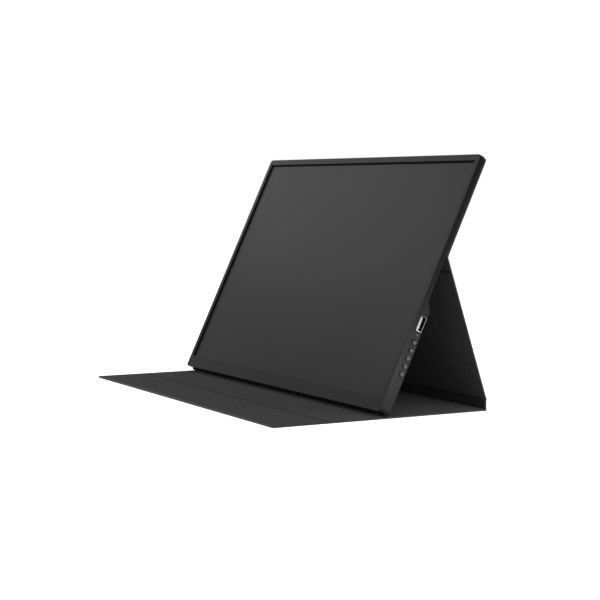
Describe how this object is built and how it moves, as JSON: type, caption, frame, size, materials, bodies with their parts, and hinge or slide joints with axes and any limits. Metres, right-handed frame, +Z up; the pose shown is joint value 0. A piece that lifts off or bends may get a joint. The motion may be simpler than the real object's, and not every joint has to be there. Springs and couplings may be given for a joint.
{
  "type": "portable monitor with cover",
  "caption": "Thin portable monitor held upright on its folding magnetic cover, whose panels make a floor, a spine and a leaning prop.",
  "frame": {"origin": "centre of the cover's footprint, on the surface it stands on", "axes": "+X to the viewer's right along the screen's width, +Y to the rear, +Z up; the screen faces -Y and leans back"},
  "size_m": [0.3559, 0.1906, 0.2021],
  "materials": {
    "bezel_plastic": "satin",
    "housing_plastic": "matte",
    "gasket_foam": "matte",
    "screen_glass": "matte",
    "foot_rubber": "matte",
    "diffuser_film": "satin",
    "clear_acrylic": "gloss",
    "tray_steel": "satin",
    "circuit_board": "satin",
    "chip_epoxy": "matte",
    "flat_cable": "satin",
    "port_steel": "satin",
    "port_plastic_light": "satin",
    "port_plastic_dark": "matte",
    "button_plastic": "satin",
    "light_pipe": "gloss",
    "screw_steel": "satin",
    "magnet": "satin",
    "cover_skin": "matte",
    "cover_board": "matte",
    "cover_lining": "matte"
  },
  "bodies": {
    "floor": {"floor_skin": "cover_skin", "floor_board": "cover_board", "floor_lining": "cover_lining", "flap_crease": "cover_skin", "spine_crease": "cover_skin"},
    "flap": {"flap_skin": "cover_skin", "flap_board": "cover_board", "flap_lining": "cover_lining", "flap_magnets": "magnet"},
    "spine": {"spine_skin": "cover_skin", "spine_board": "cover_board", "spine_lining": "cover_lining", "prop_crease": "cover_skin"},
    "prop": {"prop_skin": "cover_skin", "prop_board": "cover_board", "prop_lining": "cover_lining", "fold_crease": "cover_skin"},
    "monitor": {"front_bezel": "bezel_plastic", "screen_foam": "gasket_foam", "lcd_cell": "screen_glass", "diffuser_sheets": "diffuser_film", "light_guide": "clear_acrylic", "backlight_bar": "circuit_board", "panel_tray": "tray_steel", "panel_board": "circuit_board", "rear_housing": "housing_plastic", "foot_strip": "foot_rubber", "keeper_plates": "tray_steel", "main_board": "circuit_board", "board_parts": "chip_epoxy", "side_board": "circuit_board", "tact_switches": "chip_epoxy", "link_flex": "flat_cable", "panel_flex": "flat_cable", "usb_a_shell": "port_steel", "usb_a_tongue": "port_plastic_light", "status_light": "light_pipe", "usb_c_shells": "port_steel", "usb_c_tongues": "port_plastic_dark", "video_shell": "port_steel", "video_tongue": "port_plastic_dark", "audio_jack": "port_plastic_dark", "housing_screws": "screw_steel", "upper_skin": "cover_skin", "upper_board": "cover_board", "upper_lining": "cover_lining", "upper_magnets": "magnet"},
    "power_button": {"power_button": "button_plastic"},
    "menu_button": {"menu_button": "button_plastic"},
    "up_button": {"up_button": "button_plastic"},
    "down_button": {"down_button": "button_plastic"},
    "back_button": {"back_button": "button_plastic"}
  },
  "joints": [
    {"name": "flap_fold", "type": "hinge", "parent": "floor", "child": "flap", "pos_m": [0, -0.04805, 0.00075], "axis": [-1, 0, 0], "range_deg": [0, 110]},
    {"name": "spine_fold", "type": "hinge", "parent": "floor", "child": "spine", "pos_m": [0, 0.0945, 0.00075], "axis": [-1, 0, 0], "range_deg": [0, 90]},
    {"name": "prop_recline", "type": "hinge", "parent": "spine", "child": "prop", "pos_m": [0, 0.0945, 0.00955], "axis": [1, 0, 0], "range_deg": [0, 11]},
    {"name": "screen_tilt", "type": "hinge", "parent": "prop", "child": "monitor", "pos_m": [0, 0.05714, 0.12316], "axis": [1, 0, 0], "range_deg": [-19.46, 0]},
    {"name": "power_press", "type": "slide", "parent": "monitor", "child": "power_button", "axis": [-1, 0, 0], "range_m": [0, 0.0004], "stiffness_N_per_m": 300, "springref_m": -0.0003},
    {"name": "menu_press", "type": "slide", "parent": "monitor", "child": "menu_button", "axis": [-1, 0, 0], "range_m": [0, 0.0004], "stiffness_N_per_m": 300, "springref_m": -0.0003},
    {"name": "up_press", "type": "slide", "parent": "monitor", "child": "up_button", "axis": [-1, 0, 0], "range_m": [0, 0.0004], "stiffness_N_per_m": 300, "springref_m": -0.0003},
    {"name": "down_press", "type": "slide", "parent": "monitor", "child": "down_button", "axis": [-1, 0, 0], "range_m": [0, 0.0004], "stiffness_N_per_m": 300, "springref_m": -0.0003},
    {"name": "back_press", "type": "slide", "parent": "monitor", "child": "back_button", "axis": [-1, 0, 0], "range_m": [0, 0.0004], "stiffness_N_per_m": 300, "springref_m": -0.0003}
  ],
  "couplings": [
    {"joint": "prop_recline", "follows": "screen_tilt", "ratio": -0.565}
  ]
}
